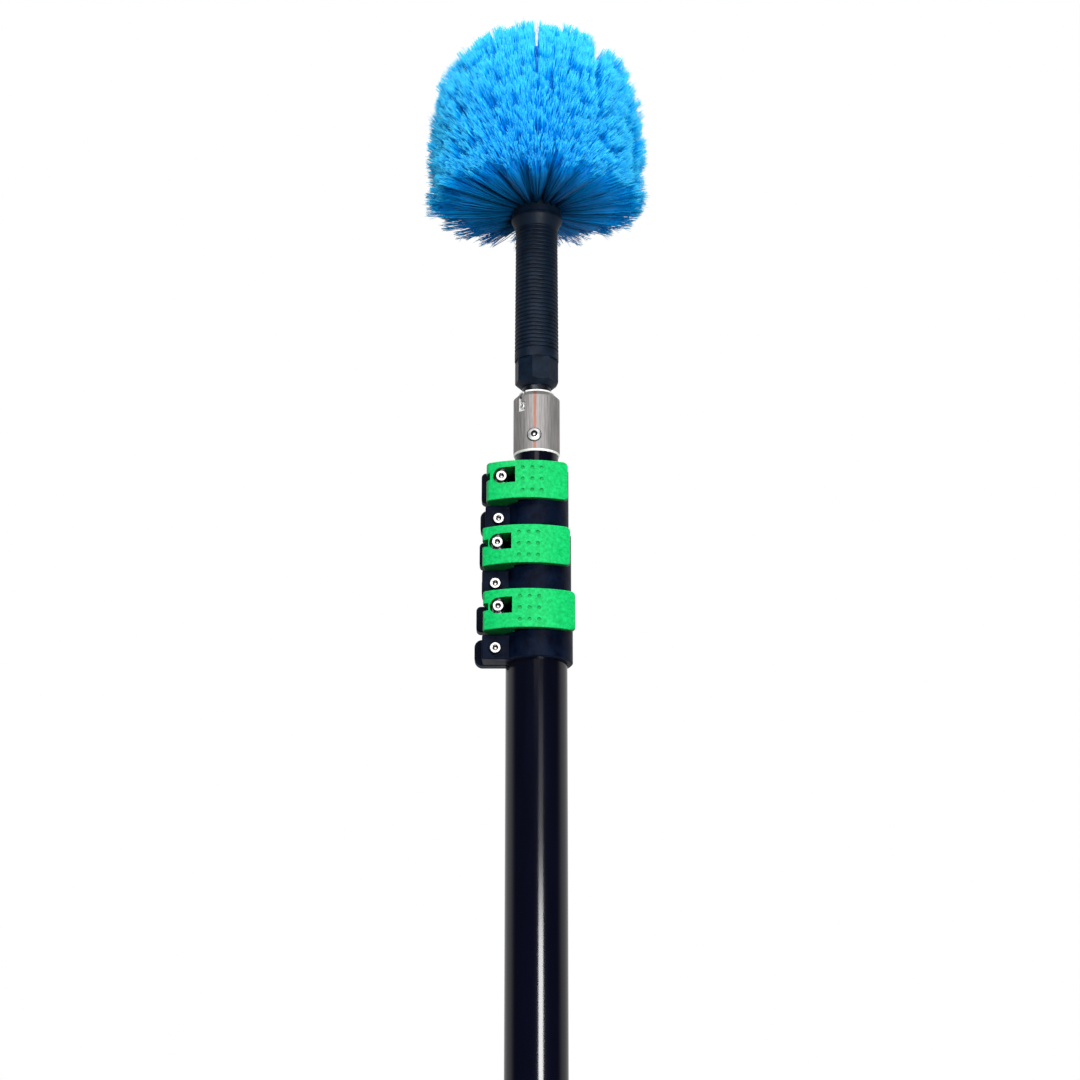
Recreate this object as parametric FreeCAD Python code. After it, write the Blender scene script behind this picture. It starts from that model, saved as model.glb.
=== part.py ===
import FreeCAD, Part
import math
import os

# A telescopic cleaning pole, collapsed: four nested tubes, three cam-lever clamps, a bayonet adaptor
# and a domed cobweb brush. Millimetres, +Z up the pole, the front of the levers towards -Y.
# The origin is the middle of the butt cap's bottom face.

Vector = FreeCAD.Vector
UP = Vector(0, 0, 1)
BACKWARDS = Vector(0, 1, 0)

# ---------------------------------------------------------------- driving dimensions

# Tubes, from the outermost inwards. The gripped ends are turned down a little to seat in their collars.
TUBE_RADIUS = {"outer": 23.0, "second": 20.5, "third": 18.5, "inner": 16.5}
TUBE_WALL = 1.6
SEAT_DEPTH = 0.3
SEAT_LEAD = 0.5
OUTER_TUBE_BOTTOM = 6.0
SECOND_TUBE_BOTTOM = 60.0
BUSH_CLEARANCE = 0.08

# Clamp stack: each clamp grips the end of one tube and locks the next one inside it
LOWEST_CLAMP_BOTTOM = 1040.0
LOWER_COLLAR_HEIGHT = 20.0
CLAMP_HEIGHT = 49.8
LOCK_CLEARANCE = 0.08
SLIT_WIDTH = 2.4
EAR_BACK = 12.0
EAR_LOW = 25.8
BOSS_REACH = 10.0
BOSS_TOP = 18.8
SCREW_HEIGHT = 7.6
# foot: height above the lowest clamp. grip, lock: the tube it is bolted to and the tube it locks.
# radius: of the collars. bolt, bolt_z: the tension bolt. screw: X of the collar screw.
# lower_ear, upper_ear: X of the rear ears' ends. ear_top: top of the upper rear ear. end: X of the lever's end.
CLAMPS = {
    "lower": {
        "foot": 0.0, "grip": "outer", "lock": "second", "radius": 27.1, "bolt": -28.3, "bolt_z": 37.6,
        "screw": -30.3, "lower_ear": -46.3, "upper_ear": -45.1, "ear_top": 45.6, "end": 28.7,
    },
    "middle": {
        "foot": 50.0, "grip": "second", "lock": "third", "radius": 26.0, "bolt": -29.1, "bolt_z": 37.5,
        "screw": -30.6, "lower_ear": -41.2, "upper_ear": -43.0, "ear_top": 45.6, "end": 25.1,
    },
    "upper": {
        "foot": 101.0, "grip": "third", "lock": "inner", "radius": 24.2, "bolt": -26.4, "bolt_z": 38.8,
        "screw": -28.4, "lower_ear": -42.5, "upper_ear": -41.8, "ear_top": 49.8, "end": 23.5,
    },
}

# Cam lever
LEVER_HEIGHT = 29.8
LEVER_CLEARANCE = 0.1
LEVER_OPENING = 110.0
CAM_RADIUS = 11.6
CAM_ECCENTRICITY = 0.69
CAM_PHASE = 60.0
CAM_GAP = 0.1
CAM_ROOM = 0.5
STRAP_FRONT_RADIUS = 60.0
STRAP_THICKNESS = 5.0
STRAP_OVERLAP = 1.0
HEEL_ROUND = 2.5
ROOT_ROUND = 6.0
TIP_ROUND = 3.5
LEVER_EDGE = 0.8
WINDOW_HEIGHT = 12.3
WINDOW_REACH = 10.4
SHANK_SLOT_HEIGHT = 5.6
DIMPLE_RADIUS = 1.5

# Fasteners: M5 cap screws, lock nuts and the cross-drilled barrel pin
SCREW_RADIUS = 2.5
HEAD_RADIUS = 4.25
HEAD_HEIGHT = 5.0
SOCKET_ACROSS_FLATS = 4.0
NUT_ACROSS_FLATS = 8.0
NUT_THICKNESS = 5.0
HOLE_CLEARANCE = 0.08
BARREL_RADIUS = 4.5
BARREL_FLAT = 3.8

# Bayonet adaptor, heights above the lowest clamp's bottom
SLEEVE_RADIUS = 17.7
SLEEVE_BOTTOM = 162.6
SLEEVE_SHOULDER = 207.7
SLEEVE_TOP = 212.0
SLEEVE_RIM_RADIUS = 13.25
SOCKET_RADIUS = 11.18
BUSH_NECK_RADIUS = 12.4
BUSH_LIP_RADIUS = 13.2
BUSH_LIP_TOP = 213.2
INNER_TUBE_TOP = 186.8
ADAPTOR_SCREW_HEIGHT = 175.1
ADAPTOR_SCREW_TURN = -5.8
SLEEVE_EDGE = 0.6
PIN_HEIGHT = 199.0
PIN_RADIUS = 1.5
PIN_ANGLE = -127.0
BAYONET_TWIST = 10.0
BAYONET_SLOT_WIDTH = 4.3
BAYONET_FOOT_HEIGHT = 7.6
BUSH_SLOT_WIDTH = 3.2

# Brush, heights above the lowest clamp's bottom
SPIGOT_RADIUS = 11.1
SPIGOT_BOTTOM = 189.0
SPIGOT_TOP = 276.0
HANDLE_BOTTOM = 218.3
HANDLE_RADIUS = 16.9
OCTAGON_BOTTOM = 222.4
OCTAGON_TOP = 240.0
OCTAGON_CORNER_ANGLE = -101.0
RIBS_BOTTOM = 246.7
RIBS_TOP = 349.4
RIB_COUNT = 32
RIB_TOP_RADIUS = 16.3
GROOVE_DEPTH = 0.9
FLANGE_RADIUS = 19.8
FLANGE_HEIGHT = 357.0
HUB_RADIUS = 19.0
HANDLE_TOP = 364.0
CORE_TOP = 445.0
STEM_RADIUS = 8.0
BRISTLE_RADIUS = 86.5
BRISTLE_BOTTOM = 370.0
BRISTLE_TOP = 522.0

PARTS = "parts"


# ---------------------------------------------------------------- shapes used by many parts


def cylinder(radius, low, high, x=0.0, y=0.0):
    """A round bar along Z."""
    return Part.makeCylinder(radius, high - low, Vector(x, y, low))


def ring(outer, inner, low, high):
    """A plain tube along Z, on the pole's axis."""
    return cylinder(outer, low, high).cut(cylinder(inner, low - 1, high + 1))


def rod(radius, front, back, x, z):
    """A round bar along Y."""
    return Part.makeCylinder(radius, back - front, Vector(x, front, z), BACKWARDS)


def block(x, y, z):
    """A box between the given pairs of limits."""
    return Part.makeBox(x[1] - x[0], y[1] - y[0], z[1] - z[0], Vector(x[0], y[0], z[0]))


def rounded_block(x, y, z, corner, edge):
    """A box with round corners seen from the front, and slightly rounded front edges."""
    solid = block(x, y, z)
    along_y = [e for e in solid.Edges if abs(e.tangentAt(e.FirstParameter).y) > 0.99]
    solid = solid.makeFillet(corner, along_y)
    front = [e for e in solid.Edges if e.BoundBox.YMax < y[0] + 0.01]
    return solid.makeFillet(edge, front)


def turned(points):
    """The closed outline of (radius, height) points, turned about the pole's axis."""
    corners = [Vector(r, 0, z) for r, z in points]
    face = Part.Face(Part.makePolygon(corners + corners[:1]))
    return face.revolve(Vector(0, 0, 0), UP, 360)


def polygon_prism(corners, along):
    """A prism on a closed polygon of points."""
    return Part.Face(Part.makePolygon(corners + corners[:1])).extrude(along)


def hexagon(across_flats, front, back, x, z):
    """A hexagonal bar along Y, with flats to the left and right."""
    radius = across_flats / math.sqrt(3)
    turns = [math.radians(30 + 60 * k) for k in range(6)]
    corners = [Vector(x + radius * math.cos(t), front, z + radius * math.sin(t)) for t in turns]
    return polygon_prism(corners, Vector(0, back - front, 0))


def sector(radius, low, high, centre, first, last):
    """A slice of a disc about a vertical axis, between two directions in degrees."""
    slice_ = Part.makeCylinder(radius, high - low, Vector(centre.x, centre.y, low), UP, last - first)
    slice_.rotate(centre, UP, first)
    return slice_


def spoke(length, half_width, low, high, centre, direction):
    """A bar of rectangular section that runs out from a vertical axis in one direction."""
    bar = block((0, length), (-half_width, half_width), (low, high))
    bar.rotate(Vector(0, 0, 0), UP, direction)
    bar.translate(Vector(centre.x, centre.y, 0))
    return bar


def upright_edges(solid):
    """The straight edges that run along Z."""
    return [e for e in solid.Edges if abs(e.tangentAt(e.FirstParameter).z) > 0.99]


def chamfer_circles(solid, size, where):
    """Bevels the circular edges for which where(edge) holds."""
    chosen = [e for e in solid.Edges if isinstance(e.Curve, Part.Circle) and where(e)]
    return solid.makeChamfer(size, chosen)


# ---------------------------------------------------------------- fasteners


def cap_screw(x, z, seat, tip):
    """An M5 socket cap screw along Y. Its head stands in front of seat."""
    face = seat - HEAD_HEIGHT
    head = rod(HEAD_RADIUS, face, seat, x, z)
    head = chamfer_circles(head, 0.5, lambda e: abs(e.Curve.Center.y - face) < 0.01)
    head = head.cut(hexagon(SOCKET_ACROSS_FLATS, face - 1, face + 2.8, x, z))
    return head.fuse(rod(SCREW_RADIUS, seat, tip, x, z)).removeSplitter()


def lock_nut(x, z, seat):
    """A hexagon nut with a round nylon collar at its back."""
    collar = 1.3
    nut = hexagon(NUT_ACROSS_FLATS, seat, seat + NUT_THICKNESS - collar, x, z)
    nut = nut.fuse(rod(3.7, seat, seat + NUT_THICKNESS, x, z))
    return nut.cut(rod(SCREW_RADIUS, seat - 1, seat + NUT_THICKNESS + 1, x, z)).removeSplitter()


def barrel_pin(clamp_bottom, bolt_z, pivot):
    """The lever's pivot pin, drilled across for the tension bolt and spot-faced under its head."""
    pin = cylinder(BARREL_RADIUS, clamp_bottom + 22.1, clamp_bottom + 48.5, pivot.x, pivot.y)
    pin = chamfer_circles(pin, 0.4, lambda e: True)
    pin = pin.cut(rod(SCREW_RADIUS, pivot.y - 10, pivot.y + 10, pivot.x, bolt_z))
    seat = block(
        (pivot.x - 6, pivot.x + 6),
        (pivot.y - 6, pivot.y - BARREL_FLAT),
        (bolt_z - 4.6, bolt_z + 4.6),
    )
    return pin.cut(seat)


# ---------------------------------------------------------------- clamps


def lever_pivot(clamp):
    """Where the clamp's barrel pin stands, in plan."""
    sizes = CLAMPS[clamp]
    return Vector(sizes["bolt"], -(TUBE_RADIUS[sizes["grip"]] - 2.0), 0)


def ear_face(clamp):
    """Y of the upper front ear's face, which the cam presses on."""
    cam_back = CAM_ECCENTRICITY * math.sin(math.radians(CAM_PHASE)) + CAM_RADIUS
    return lever_pivot(clamp).y + cam_back + CAM_GAP


def clamp_body(clamp, bottom):
    """The split collar pair: the lower collar is bolted to its tube, the upper one grips the inner tube."""
    sizes = CLAMPS[clamp]
    grip_radius, lock_radius = TUBE_RADIUS[sizes["grip"]], TUBE_RADIUS[sizes["lock"]]
    bolt_x, screw_x, outside = sizes["bolt"], sizes["screw"], sizes["radius"]
    top, split = bottom + CLAMP_HEIGHT, bottom + LOWER_COLLAR_HEIGHT
    bolt_z, screw_z = bottom + sizes["bolt_z"], bottom + SCREW_HEIGHT
    edge = 1.0

    body = turned(
        [
            (0, bottom),
            (outside - edge, bottom),
            (outside, bottom + edge),
            (outside, top - edge),
            (outside - edge, top),
            (0, top),
        ]
    )
    inside = -grip_radius / 2
    front_lower = rounded_block(
        (screw_x - BOSS_REACH, inside), (-(grip_radius - 5), 0), (bottom, bottom + BOSS_TOP), 1.5, 1.0
    )
    rear_lower = rounded_block((sizes["lower_ear"], inside), (SLIT_WIDTH, EAR_BACK), (bottom, split), 6.0, 1.0)
    front_upper = rounded_block((bolt_x - 9, inside), (ear_face(clamp), 0), (split + 2, top), 3.0, 0.8)
    rear_upper = rounded_block(
        (sizes["upper_ear"], inside),
        (SLIT_WIDTH, EAR_BACK),
        (bottom + EAR_LOW, bottom + sizes["ear_top"]),
        3.5,
        1.0,
    )
    body = body.fuse([front_lower, rear_lower, front_upper, rear_upper])

    pivot = lever_pivot(clamp)
    cam_room = cylinder(CAM_RADIUS + CAM_ECCENTRICITY + CAM_ROOM, split, top + 1, pivot.x, pivot.y)
    cam_room = cam_room.common(block((-80, 0), (-80, ear_face(clamp)), (split, top + 1)))
    nut_seat, collar_nut_seat = 6.5, 7.0
    hole = SCREW_RADIUS + HOLE_CLEARANCE
    pocket = NUT_ACROSS_FLATS + 0.3
    cuts = [
        cylinder(grip_radius - SEAT_DEPTH + 0.02, bottom - 1, split),
        cylinder(lock_radius + LOCK_CLEARANCE, bottom, top + 1),
        block((-80, 0), (0, SLIT_WIDTH), (bottom - 1, top + 1)),
        block((-80, -6), (-80, 80), (split, split + 1.4)),
        cam_room,
        rod(hole, -60, 60, bolt_x, bolt_z),
        rod(hole, -60, 60, screw_x, screw_z),
        hexagon(pocket, nut_seat, 60, bolt_x, bolt_z),
        hexagon(pocket, collar_nut_seat, 60, screw_x, screw_z),
    ]
    return body.cut(cuts).removeSplitter()


def strap_arc(clamp, x, inset=0.0):
    """Y of the lever's outer curve at x, or of a curve that lies inset behind it."""
    centre, radius = strap_centre(clamp), STRAP_FRONT_RADIUS - inset
    return centre.y - math.sqrt(radius**2 - (x - centre.x) ** 2)


def strap_centre(clamp):
    """The vertical axis of the lever's shallow front curve, in plan."""
    nearest = -(TUBE_RADIUS[CLAMPS[clamp]["grip"]] + 11.5)
    return Vector(-6.0, nearest + STRAP_FRONT_RADIUS, 0)


def lever_blank(clamp, low, high):
    """The lever before its window and holes are cut: a cam lobe that runs into a curved strap."""
    pivot, centre = lever_pivot(clamp), strap_centre(clamp)
    free_end = CLAMPS[clamp]["end"]
    cam_turn = math.radians(CAM_PHASE)
    cam = pivot + Vector(math.cos(cam_turn), math.sin(cam_turn), 0) * CAM_ECCENTRICITY

    front = cylinder(STRAP_FRONT_RADIUS, low, high, centre.x, centre.y)
    strap = front.cut(
        cylinder(STRAP_FRONT_RADIUS - STRAP_THICKNESS, low - 1, high + 1, centre.x, centre.y)
    )
    strap = strap.common(block((pivot.x - STRAP_OVERLAP, free_end), (-80, 0), (low, high)))
    lobe = cylinder(CAM_RADIUS, low, high, cam.x, cam.y).common(front)
    heel = [e for e in upright_edges(lobe) if e.Vertexes[0].X < pivot.x - 5]
    blank = strap.fuse(lobe.makeFillet(HEEL_ROUND, heel)).removeSplitter()

    root = [e for e in upright_edges(blank) if pivot.x + 6 < e.Vertexes[0].X < 0]
    blank = blank.makeFillet(ROOT_ROUND, root)
    outline = block((pivot.x - 20, free_end), (-80, 0), (low, high))
    tip = [e for e in outline.Edges if e.BoundBox.XMin > free_end - 0.1 and e.BoundBox.YLength > 1]
    return blank.common(outline.makeFillet(TIP_ROUND, tip))


def cam_lever(clamp, clamp_bottom):
    """The cam lever, with its bolt window, the slot for the bolt's shank, pin hole and grip dimples."""
    low = clamp_bottom + LOWER_COLLAR_HEIGHT + LEVER_CLEARANCE
    high = low + LEVER_HEIGHT
    pivot = lever_pivot(clamp)
    bolt_z = clamp_bottom + CLAMPS[clamp]["bolt_z"]
    blank = lever_blank(clamp, low, high)
    free_end = CLAMPS[clamp]["end"]

    def sharp(edge):
        box = edge.BoundBox
        level = box.ZLength < 0.01 and (box.ZMin < low + 0.01 or box.ZMin > high - 0.01)
        across = box.XLength < 0.01 and box.ZLength < 0.01
        return (level or box.XMin > free_end - TIP_ROUND - 0.1) and not across

    lever = blank.makeFillet(LEVER_EDGE, [e for e in blank.Edges if sharp(e)])

    half = WINDOW_HEIGHT / 2
    window_low, window_high = bolt_z - half, bolt_z + half
    head_reach = BARREL_FLAT + HEAD_HEIGHT + 1.4
    shank_half = SHANK_SLOT_HEIGHT / 2
    shank_low, shank_high = bolt_z - shank_half, bolt_z + shank_half
    in_front = strap_arc(clamp, pivot.x) - 8
    opened_head = 270 + LEVER_OPENING
    opened_shank = 90 + LEVER_OPENING
    cuts = [
        cylinder(BARREL_RADIUS + 0.06, low + 2, high + 1, pivot.x, pivot.y),
        rod(half, in_front, pivot.y, pivot.x, bolt_z),
        block(
            (pivot.x, pivot.x + WINDOW_REACH), (in_front, pivot.y + CAM_RADIUS + 1), (window_low, window_high)
        ),
        sector(head_reach, window_low, window_high, pivot, 270, opened_head),
        spoke(head_reach, HEAD_RADIUS + 0.5, window_low, window_high, pivot, opened_head),
        sector(16, shank_low, shank_high, pivot, 90, opened_shank),
        spoke(16, shank_half, shank_low, shank_high, pivot, 90),
        spoke(16, shank_half, shank_low, shank_high, pivot, opened_shank),
    ]
    for column in (16.0, 23.2, 30.2):
        x = pivot.x + column
        face = strap_arc(clamp, x)
        for row in (-8.8, 0.0, 8.8):
            z = low + LEVER_HEIGHT / 2 + row
            cuts.append(rod(DIMPLE_RADIUS, face - 2, face + 0.9, x, z))
    return lever.cut(cuts)


def clamp_parts(clamp, bottom):
    """All parts of one clamp, by name."""
    sizes = CLAMPS[clamp]
    bolt_x, screw_x = sizes["bolt"], sizes["screw"]
    grip_radius = TUBE_RADIUS[sizes["grip"]]
    pivot = lever_pivot(clamp)
    bolt_z, screw_z = bottom + sizes["bolt_z"], bottom + SCREW_HEIGHT
    nut_seat, collar_nut_seat = 6.5, 7.0
    boss_face = -(grip_radius - 5)
    return {
        f"{clamp}_clamp_body": clamp_body(clamp, bottom),
        f"{clamp}_collar_screw": cap_screw(screw_x, screw_z, boss_face, collar_nut_seat + 6),
        f"{clamp}_collar_nut": lock_nut(screw_x, screw_z, collar_nut_seat),
        f"{clamp}_tension_bolt": cap_screw(bolt_x, bolt_z, pivot.y - BARREL_FLAT, nut_seat + 6.5),
        f"{clamp}_tension_nut": lock_nut(bolt_x, bolt_z, nut_seat),
        f"{clamp}_barrel_pin": barrel_pin(bottom, bolt_z, pivot),
        f"{clamp}_lever": cam_lever(clamp, bottom),
    }


# ---------------------------------------------------------------- tubes


def gripped_tube(radius, bottom, clamp_bottom):
    """A tube whose upper end sits in a clamp's lower collar."""
    top = clamp_bottom + LOWER_COLLAR_HEIGHT - 0.2
    seat = clamp_bottom - SEAT_LEAD
    tube = ring(radius, radius - TUBE_WALL, bottom, top)
    return tube.cut(ring(radius + 1, radius - SEAT_DEPTH, seat, top + 1))


def butt_cap():
    """A rubber plug whose flange is the foot of the pole."""
    outside, plug = TUBE_RADIUS["outer"] - 0.3, TUBE_RADIUS["outer"] - TUBE_WALL - 0.02
    return turned(
        [
            (0, 0),
            (outside - 2.5, 0),
            (outside - 0.7, 0.7),
            (outside, 2.5),
            (outside, OUTER_TUBE_BOTTOM),
            (plug, OUTER_TUBE_BOTTOM),
            (plug, 34),
            (plug - 1, 36),
            (plug - 4, 36),
            (plug - 4, 8),
            (0, 8),
        ]
    )


def guide_bush(tube, around, tube_bottom):
    """The plastic bush on a sliding tube's lower end, which guides it in the tube around it."""
    guide = TUBE_RADIUS[around] - TUBE_WALL - BUSH_CLEARANCE
    plug = TUBE_RADIUS[tube] - TUBE_WALL - 0.02
    low, high = tube_bottom - 10, tube_bottom + 20
    return turned(
        [
            (plug - 3, low),
            (guide - 1, low),
            (guide, low + 1),
            (guide, tube_bottom),
            (plug, tube_bottom),
            (plug, high - 1),
            (plug - 1, high),
            (plug - 3, high),
        ]
    )


# ---------------------------------------------------------------- bayonet adaptor


def screw_bore(radius, base):
    """A hole for the adaptor screw, from outside to the pole's axis."""
    bore = rod(radius, -30, 0, 0, base + ADAPTOR_SCREW_HEIGHT)
    bore.rotate(Vector(0, 0, 0), UP, ADAPTOR_SCREW_TURN)
    return bore


def bayonet_slots(height, width, foot_height):
    """The two L-shaped slots that take the locking pin's ends."""
    half = width / 2
    foot_low = height - foot_height / 2
    foot_high = height + foot_height / 2
    above = height + 30
    axis = Vector(0, 0, 0)
    slots = []
    for start in (PIN_ANGLE, PIN_ANGLE + 180):
        leg = start - BAYONET_TWIST
        slots += [
            spoke(25, half, foot_low, foot_high, axis, start),
            sector(25, foot_low, foot_high, axis, leg, start),
            spoke(25, half, foot_low, above, axis, leg),
        ]
    return slots


def adaptor_sleeve(base):
    """The steel sleeve over the inner tube's end, with a bevelled shoulder and the bayonet slots."""
    tube_radius = TUBE_RADIUS["inner"] + 0.02
    wall = 1.5
    socket_wall = SLEEVE_RADIUS - wall
    sleeve = turned(
        [
            (tube_radius, base + SLEEVE_BOTTOM),
            (SLEEVE_RADIUS - SLEEVE_EDGE, base + SLEEVE_BOTTOM),
            (SLEEVE_RADIUS, base + SLEEVE_BOTTOM + 2 * SLEEVE_EDGE),
            (SLEEVE_RADIUS, base + SLEEVE_SHOULDER),
            (SLEEVE_RIM_RADIUS, base + SLEEVE_TOP),
            (BUSH_NECK_RADIUS + 0.02, base + SLEEVE_TOP),
            (BUSH_NECK_RADIUS + 0.02, base + SLEEVE_TOP - wall - 0.5),
            (SLEEVE_RIM_RADIUS - 0.6, base + SLEEVE_TOP - wall - 0.5),
            (socket_wall, base + SLEEVE_SHOULDER - 1),
            (socket_wall, base + INNER_TUBE_TOP),
            (tube_radius, base + INNER_TUBE_TOP),
        ]
    )
    slots = bayonet_slots(base + PIN_HEIGHT, BAYONET_SLOT_WIDTH, BAYONET_FOOT_HEIGHT)
    return sleeve.cut([screw_bore(SCREW_RADIUS + 0.1, base)] + slots)


def socket_bush(base):
    """The nylon bush inside the sleeve, which centres the brush's spigot and ends in a lip on the sleeve."""
    outside = SLEEVE_RADIUS - 1.52
    bush = turned(
        [
            (SOCKET_RADIUS, base + INNER_TUBE_TOP + 0.1),
            (outside, base + INNER_TUBE_TOP + 0.1),
            (outside, base + SLEEVE_SHOULDER - 1.1),
            (BUSH_NECK_RADIUS, base + SLEEVE_SHOULDER - 1.1),
            (BUSH_NECK_RADIUS, base + SLEEVE_TOP + 0.02),
            (BUSH_LIP_RADIUS, base + SLEEVE_TOP + 0.02),
            (BUSH_LIP_RADIUS, base + BUSH_LIP_TOP),
            (SOCKET_RADIUS, base + BUSH_LIP_TOP),
        ]
    )
    return bush.cut(bayonet_slots(base + PIN_HEIGHT, BUSH_SLOT_WIDTH, BUSH_SLOT_WIDTH))


def tube_insert(base):
    """The threaded aluminium ring in the inner tube's end that the adaptor screw bites into."""
    outside = TUBE_RADIUS["inner"] - TUBE_WALL - 0.02
    insert = ring(outside, 9.0, base + 164, base + INNER_TUBE_TOP - 1)
    return insert.cut(screw_bore(SCREW_RADIUS, base))


def button_screw(base):
    """The M5 button-head screw that holds the sleeve on the inner tube."""
    z = base + ADAPTOR_SCREW_HEIGHT
    head_radius, head_height = 5.5, 2.9
    dome = (head_radius**2 + head_height**2) / (2 * head_height)
    middle = Vector(0, -SLEEVE_RADIUS - head_height + dome, z)
    head = Part.makeSphere(dome, middle)
    head = head.common(block((-10, 10), (-SLEEVE_RADIUS - head_height + 0.25, -SLEEVE_RADIUS), (z - 10, z + 10)))
    socket = hexagon(3.0, -SLEEVE_RADIUS - 10, -SLEEVE_RADIUS - 0.9, 0, z)
    shank = rod(SCREW_RADIUS, -SLEEVE_RADIUS, -SLEEVE_RADIUS + 9, 0, z)
    screw = head.cut(socket).fuse(shank).removeSplitter()
    screw.rotate(Vector(0, 0, 0), UP, ADAPTOR_SCREW_TURN)
    return screw


def inner_tube(bottom, base):
    """The innermost tube, drilled for the adaptor screw."""
    radius = TUBE_RADIUS["inner"]
    tube = ring(radius, radius - TUBE_WALL, bottom, base + INNER_TUBE_TOP)
    return tube.cut(screw_bore(SCREW_RADIUS + 0.1, base))


# ---------------------------------------------------------------- brush


def locking_pin(base):
    """The cross pin through the spigot, whose ends lie in the feet of the bayonet slots."""
    reach = SLEEVE_RADIUS + 0.4
    turn = math.radians(PIN_ANGLE)
    direction = Vector(math.cos(turn), math.sin(turn), 0)
    start = direction * -reach + Vector(0, 0, base + PIN_HEIGHT)
    pin = Part.makeCylinder(PIN_RADIUS, 2 * reach, start, direction)
    return chamfer_circles(pin, 0.5, lambda e: True)


def spigot(base):
    """The polished tube that joins the brush to the bayonet sleeve."""
    tube = ring(SPIGOT_RADIUS, SPIGOT_RADIUS - 1.5, base + SPIGOT_BOTTOM, base + SPIGOT_TOP)
    return tube.cut(locking_pin(base))


def rib_outline(base):
    """The handle's outline over its ribs: rounded ridges with narrow grooves between them."""
    pitch = (RIBS_TOP - RIBS_BOTTOM) / RIB_COUNT
    points = []
    for k in range(RIB_COUNT):
        low = base + RIBS_BOTTOM + k * pitch
        radius = HANDLE_RADIUS + (RIB_TOP_RADIUS - HANDLE_RADIUS) * k / (RIB_COUNT - 1)
        points += [
            (radius - GROOVE_DEPTH, low + 0.1 * pitch),
            (radius - GROOVE_DEPTH, low + 0.3 * pitch),
            (radius - 0.15, low + 0.45 * pitch),
            (radius, low + 0.6 * pitch),
            (radius, low + 0.8 * pitch),
            (radius - 0.15, low + 0.95 * pitch),
        ]
    return points


def brush_handle(base):
    """The moulded handle: octagonal foot, plain band, ribbed grip, flange and hub."""
    socket = SPIGOT_RADIUS + 0.02
    handle = turned(
        [(socket, base + HANDLE_BOTTOM), (12.2, base + HANDLE_BOTTOM), (HANDLE_RADIUS, base + OCTAGON_BOTTOM)]
        + [(HANDLE_RADIUS, base + RIBS_BOTTOM)]
        + rib_outline(base)
        + [
            (RIB_TOP_RADIUS, base + RIBS_TOP),
            (FLANGE_RADIUS, base + FLANGE_HEIGHT),
            (FLANGE_RADIUS, base + FLANGE_HEIGHT + 1.6),
            (HUB_RADIUS, base + FLANGE_HEIGHT + 3),
            (HUB_RADIUS, base + HANDLE_TOP),
            (STEM_RADIUS, base + HANDLE_TOP),
            (STEM_RADIUS, base + SPIGOT_TOP),
            (socket, base + SPIGOT_TOP),
        ]
    )
    turns = [math.radians(OCTAGON_CORNER_ANGLE + 45 * k) for k in range(8)]
    low = base + HANDLE_BOTTOM - 1
    corners = [Vector(HANDLE_RADIUS * math.cos(t), HANDLE_RADIUS * math.sin(t), low) for t in turns]
    octagon = polygon_prism(corners, Vector(0, 0, base + OCTAGON_TOP - low))
    waste = ring(HANDLE_RADIUS + 2, 9, low, base + OCTAGON_TOP).cut(octagon)
    return handle.cut(waste)


def brush_core(base):
    """The domed block that holds the tufts, with a stem pressed into the handle."""
    shoulder = base + CORE_TOP - HUB_RADIUS
    core = cylinder(HUB_RADIUS, base + HANDLE_TOP, shoulder)
    dome = Part.makeSphere(HUB_RADIUS, Vector(0, 0, shoulder))
    stem = cylinder(STEM_RADIUS - 0.02, base + HANDLE_TOP - 30, base + HANDLE_TOP)
    return core.fuse([dome, stem]).removeSplitter()


def bristles(base):
    """The outer shape of the domed bristle head, hollow where the core is."""
    low, middle = base + BRISTLE_BOTTOM, base + BRISTLE_TOP - BRISTLE_RADIUS
    head = cylinder(BRISTLE_RADIUS, low, middle)
    lower_rim = [e for e in head.Edges if isinstance(e.Curve, Part.Circle) and e.Curve.Center.z < low + 1]
    head = head.makeFillet(12.0, lower_rim)
    head = head.fuse(Part.makeSphere(BRISTLE_RADIUS, Vector(0, 0, middle), UP, 0, 90, 360))
    gap = 0.5
    shoulder = base + CORE_TOP - HUB_RADIUS
    hollow = cylinder(HUB_RADIUS + gap, low - 1, shoulder)
    hollow = hollow.fuse(Part.makeSphere(HUB_RADIUS + gap, Vector(0, 0, shoulder)))
    return head.cut(hollow)


# ---------------------------------------------------------------- assembly


def all_parts():
    """Every part of the pole, by name."""
    base = LOWEST_CLAMP_BOTTOM
    parts = {"butt_cap": butt_cap()}
    tube_bottom = OUTER_TUBE_BOTTOM
    for clamp, sizes in CLAMPS.items():
        clamp_bottom = base + sizes["foot"]
        grip, lock = sizes["grip"], sizes["lock"]
        parts[f"{grip}_tube"] = gripped_tube(TUBE_RADIUS[grip], tube_bottom, clamp_bottom)
        parts.update(clamp_parts(clamp, clamp_bottom))
        tube_bottom = SECOND_TUBE_BOTTOM + sizes["foot"]
        parts[f"{lock}_guide_bush"] = guide_bush(lock, grip, tube_bottom)
    parts["inner_tube"] = inner_tube(tube_bottom, base)
    parts["adaptor_sleeve"] = adaptor_sleeve(base)
    parts["socket_bush"] = socket_bush(base)
    parts["tube_insert"] = tube_insert(base)
    parts["adaptor_screw"] = button_screw(base)
    parts["locking_pin"] = locking_pin(base)
    parts["brush_spigot"] = spigot(base)
    parts["brush_handle"] = brush_handle(base)
    parts["brush_core"] = brush_core(base)
    parts["bristles"] = bristles(base)
    return parts


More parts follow.
